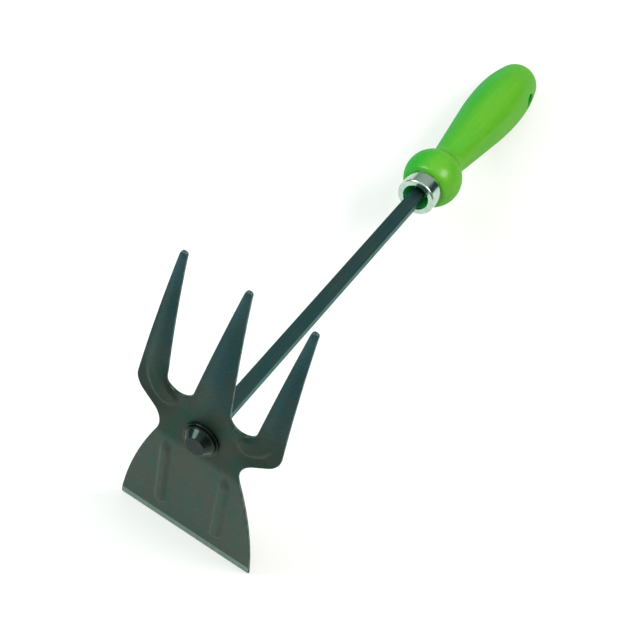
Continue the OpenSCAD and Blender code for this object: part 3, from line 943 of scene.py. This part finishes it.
def green_lacquer():
    """Thick glossy lacquer over turned wood, whose grain just shows through along the handle, with painted light: a
    deeper green on the left side, a yellower green on the right, and painted shade in the mouth and the hanging hole.
    """
    material, tree, shader, place = new_material("green_gloss_lacquer")
    parts = add(tree, "ShaderNodeSeparateXYZ")
    link(tree, place, parts.inputs[0])
    grain = cloud(tree, scaled(tree, place, (1.0, 0.06, 1.0)), 1.6, 4.0, 0.55)
    figure = cloud(tree, scaled(tree, place, (1.0, 0.3, 1.0)), 12.0, 3.0)
    # Painted light: the left side of the handle is painted in this deeper green and the right side in a yellower
    # green, for the different light that falls on each side. The wood's figure blotches are also drawn in this green.
    shade_and_figure_green = (0.006, 0.34, 0.020)
    tone = mixed(tree, remapped(tree, parts.outputs["X"], -15.0, 2.0), shade_and_figure_green, (0.100, 0.375, 0.016))
    tone = mixed(tree, remapped(tree, figure, 0.4, 0.7, 0.0, 0.3), tone, shade_and_figure_green)
    colour = mixed(tree, 1.0, tone, remapped(tree, grain, 0.3, 0.7, 0.965, 1.03), "MULTIPLY")
    # Painted shade: the mouth inside the ferrule and the wall of the hanging hole are painted a purer green, which
    # stands in for the shade inside them.
    mouth = remapped(tree, parts.outputs["Y"], SHANK_L + FERRULE_L, SHANK_L + LIP_T + TANG_TAPER)
    squares = [math_node(tree, "POWER", parts.outputs[axis], 2.0) for axis in "XZ"]
    radius = math_node(tree, "SQRT", math_node(tree, "ADD", *squares))
    along = math_node(tree, "ABSOLUTE", math_node(tree, "SUBTRACT", parts.outputs["Y"], SHANK_L + HANG_Y))
    bore = math_node(tree, "MULTIPLY", remapped(tree, radius, GRIP_R - 1.6, GRIP_R - 3.2),
                     remapped(tree, along, HANG_R + 1.0, HANG_R + 0.4))
    colour = mixed(tree, math_node(tree, "MAXIMUM", mouth, bore), colour, (0.010, 0.40, 0.08))
    link(tree, colour, shader.inputs["Base Color"])
    link(tree, remapped(tree, cloud(tree, place, 6.0, 3.0), 0.3, 0.7, 0.34, 0.42), shader.inputs["Roughness"])
    shader.inputs["Specular IOR Level"].default_value = 0.0
    shader.inputs["Coat Weight"].default_value = 0.25
    shader.inputs["Coat Roughness"].default_value = 0.27
    shader.inputs["Coat IOR"].default_value = 2.0
    peel = math_node(tree, "ADD", cloud(tree, place, 2.4, 2.0), math_node(tree, "MULTIPLY", grain, 0.3))
    bumped(tree, shader, peel, 0.02)
    return material


def pale_floor():
    """Plain pale floor with a slight glow, which keeps its shadows faint."""
    material, tree, shader, place = new_material("pale_floor")
    tone = remapped(tree, cloud(tree, place, 400.0, 2.0), 0.3, 0.7)
    link(tree, mixed(tree, tone, (0.44, 0.44, 0.44), (0.46, 0.46, 0.457)), shader.inputs["Base Color"])
    shader.inputs["Roughness"].default_value = 0.9
    shader.inputs["Specular IOR Level"].default_value = 0.1
    shader.inputs["Emission Color"].default_value = (1.0, 1.0, 1.0, 1.0)
    shader.inputs["Emission Strength"].default_value = 0.52
    return material


# ---------------------------------------------------------------- stage, lights and camera

def floor():
    """A large pale floor that the tool stands on."""
    bm = bmesh.new()
    bmesh.ops.create_grid(bm, x_segments=2, y_segments=2, size=6.0)
    mesh = bpy.data.meshes.new("floor")
    bm.to_mesh(mesh)
    bm.free()
    mesh.materials.append(pale_floor())
    ground = bpy.data.objects.new("floor", mesh)
    bpy.context.scene.collection.objects.link(ground)


def softbox(name, direction, distance, width, height, power, colour=(1.0, 1.0, 1.0)):
    """A rectangular soft light at a distance from the middle of the tool, which it faces."""
    middle = (cad_low + cad_high) / 2
    lamp = bpy.data.lights.new(name, "AREA")
    lamp.shape, lamp.size, lamp.size_y = "RECTANGLE", width, height
    lamp.energy, lamp.color = power, colour
    light = bpy.data.objects.new(name, lamp)
    towards = Vector(direction).normalized()
    light.location = middle + towards * distance
    light.rotation_euler = towards.to_track_quat("Z", "Y").to_euler()
    bpy.context.scene.collection.objects.link(light)


def studio():
    """A room that grows paler overhead, with two soft dark cards, and white where the camera looks past the floor."""
    world = bpy.data.worlds.new("studio")
    bpy.context.scene.world = world
    world.use_nodes = True
    tree = world.node_tree
    tree.nodes.clear()
    place = add(tree, "ShaderNodeTexCoord")
    parts = add(tree, "ShaderNodeSeparateXYZ")
    link(tree, place.outputs["Generated"], parts.inputs[0])
    ramp = add(tree, "ShaderNodeValToRGB")
    link(tree, parts.outputs["Z"], ramp.inputs[0])
    ramp.color_ramp.elements[0].position, ramp.color_ramp.elements[0].color = 0.0, (0.30, 0.34, 0.34, 1)
    ramp.color_ramp.elements[1].position, ramp.color_ramp.elements[1].color = 1.0, (0.75, 0.76, 0.76, 1)
    wall = ramp.color_ramp.elements.new(0.3)
    wall.color = (0.44, 0.46, 0.46, 1)
    colour = ramp.outputs[0]
    for direction, inner, outer, shade in (((0.58, 0.80, 0.15), 9.0, 24.0, (0.03, 0.06, 0.07)),
                                           ((0.60, -0.56, 0.57), 12.0, 34.0, (0.06, 0.08, 0.08))):
        facing = add(tree, "ShaderNodeVectorMath", operation="DOT_PRODUCT")
        link(tree, place.outputs["Generated"], facing.inputs[0])
        facing.inputs[1].default_value = Vector(direction).normalized()
        card = remapped(tree, facing.outputs["Value"], math.cos(math.radians(outer)), math.cos(math.radians(inner)))
        colour = mixed(tree, card, colour, shade)
    seen = add(tree, "ShaderNodeLightPath")
    colour = mixed(tree, seen.outputs["Is Camera Ray"], colour, (1.0, 1.0, 1.0))
    back = add(tree, "ShaderNodeBackground")
    link(tree, colour, back.inputs["Color"])
    out = add(tree, "ShaderNodeOutputWorld")
    link(tree, back.outputs[0], out.inputs["Surface"])


def camera():
    """Looks down on the tool from its right front, a little rolled."""
    azimuth, elevation, roll = (math.radians(a) for a in CAMERA_TURN)
    back = Vector((math.sin(azimuth) * math.cos(elevation), -math.cos(azimuth) * math.cos(elevation),
                   math.sin(elevation)))
    level = Vector((math.cos(azimuth), math.sin(azimuth), 0.0))
    upright = back.cross(level)
    right = level * math.cos(roll) + upright * math.sin(roll)
    up = back.cross(right)
    data = bpy.data.cameras.new("camera")
    data.sensor_width, data.lens = 36.0, CAMERA_LENS
    data.shift_x, data.shift_y = -CAMERA_SHIFT, CAMERA_SHIFT
    data.clip_start, data.clip_end = 0.05, 50.0
    made = bpy.data.objects.new("camera", data)
    made.matrix_world = Matrix((right, up, back)).transposed().to_4x4()
    made.location = CAMERA_AT
    bpy.context.scene.collection.objects.link(made)
    bpy.context.scene.camera = made


floor()
studio()
camera()
softbox("right_softbox", (0.58, 0.20, 0.79), 1.3, 0.60, 0.60, 11.5, (1.0, 0.98, 0.86))
softbox("left_softbox", (-0.65, -0.36, 0.68), 1.3, 0.60, 0.60, 10.0, (0.86, 1.0, 0.92))
softbox("top_softbox", (0.0, -0.1, 1.0), 1.8, 1.2, 1.2, 2.5)
bpy.context.scene.view_settings.view_transform = "Standard"

oiled = rivet_steel()
head_plate(tempered_steel(), ground_steel())
washer(oiled)
rivet(oiled)
shank(bar_steel())
ferrule(zinc_plating())
handle(green_lacquer())
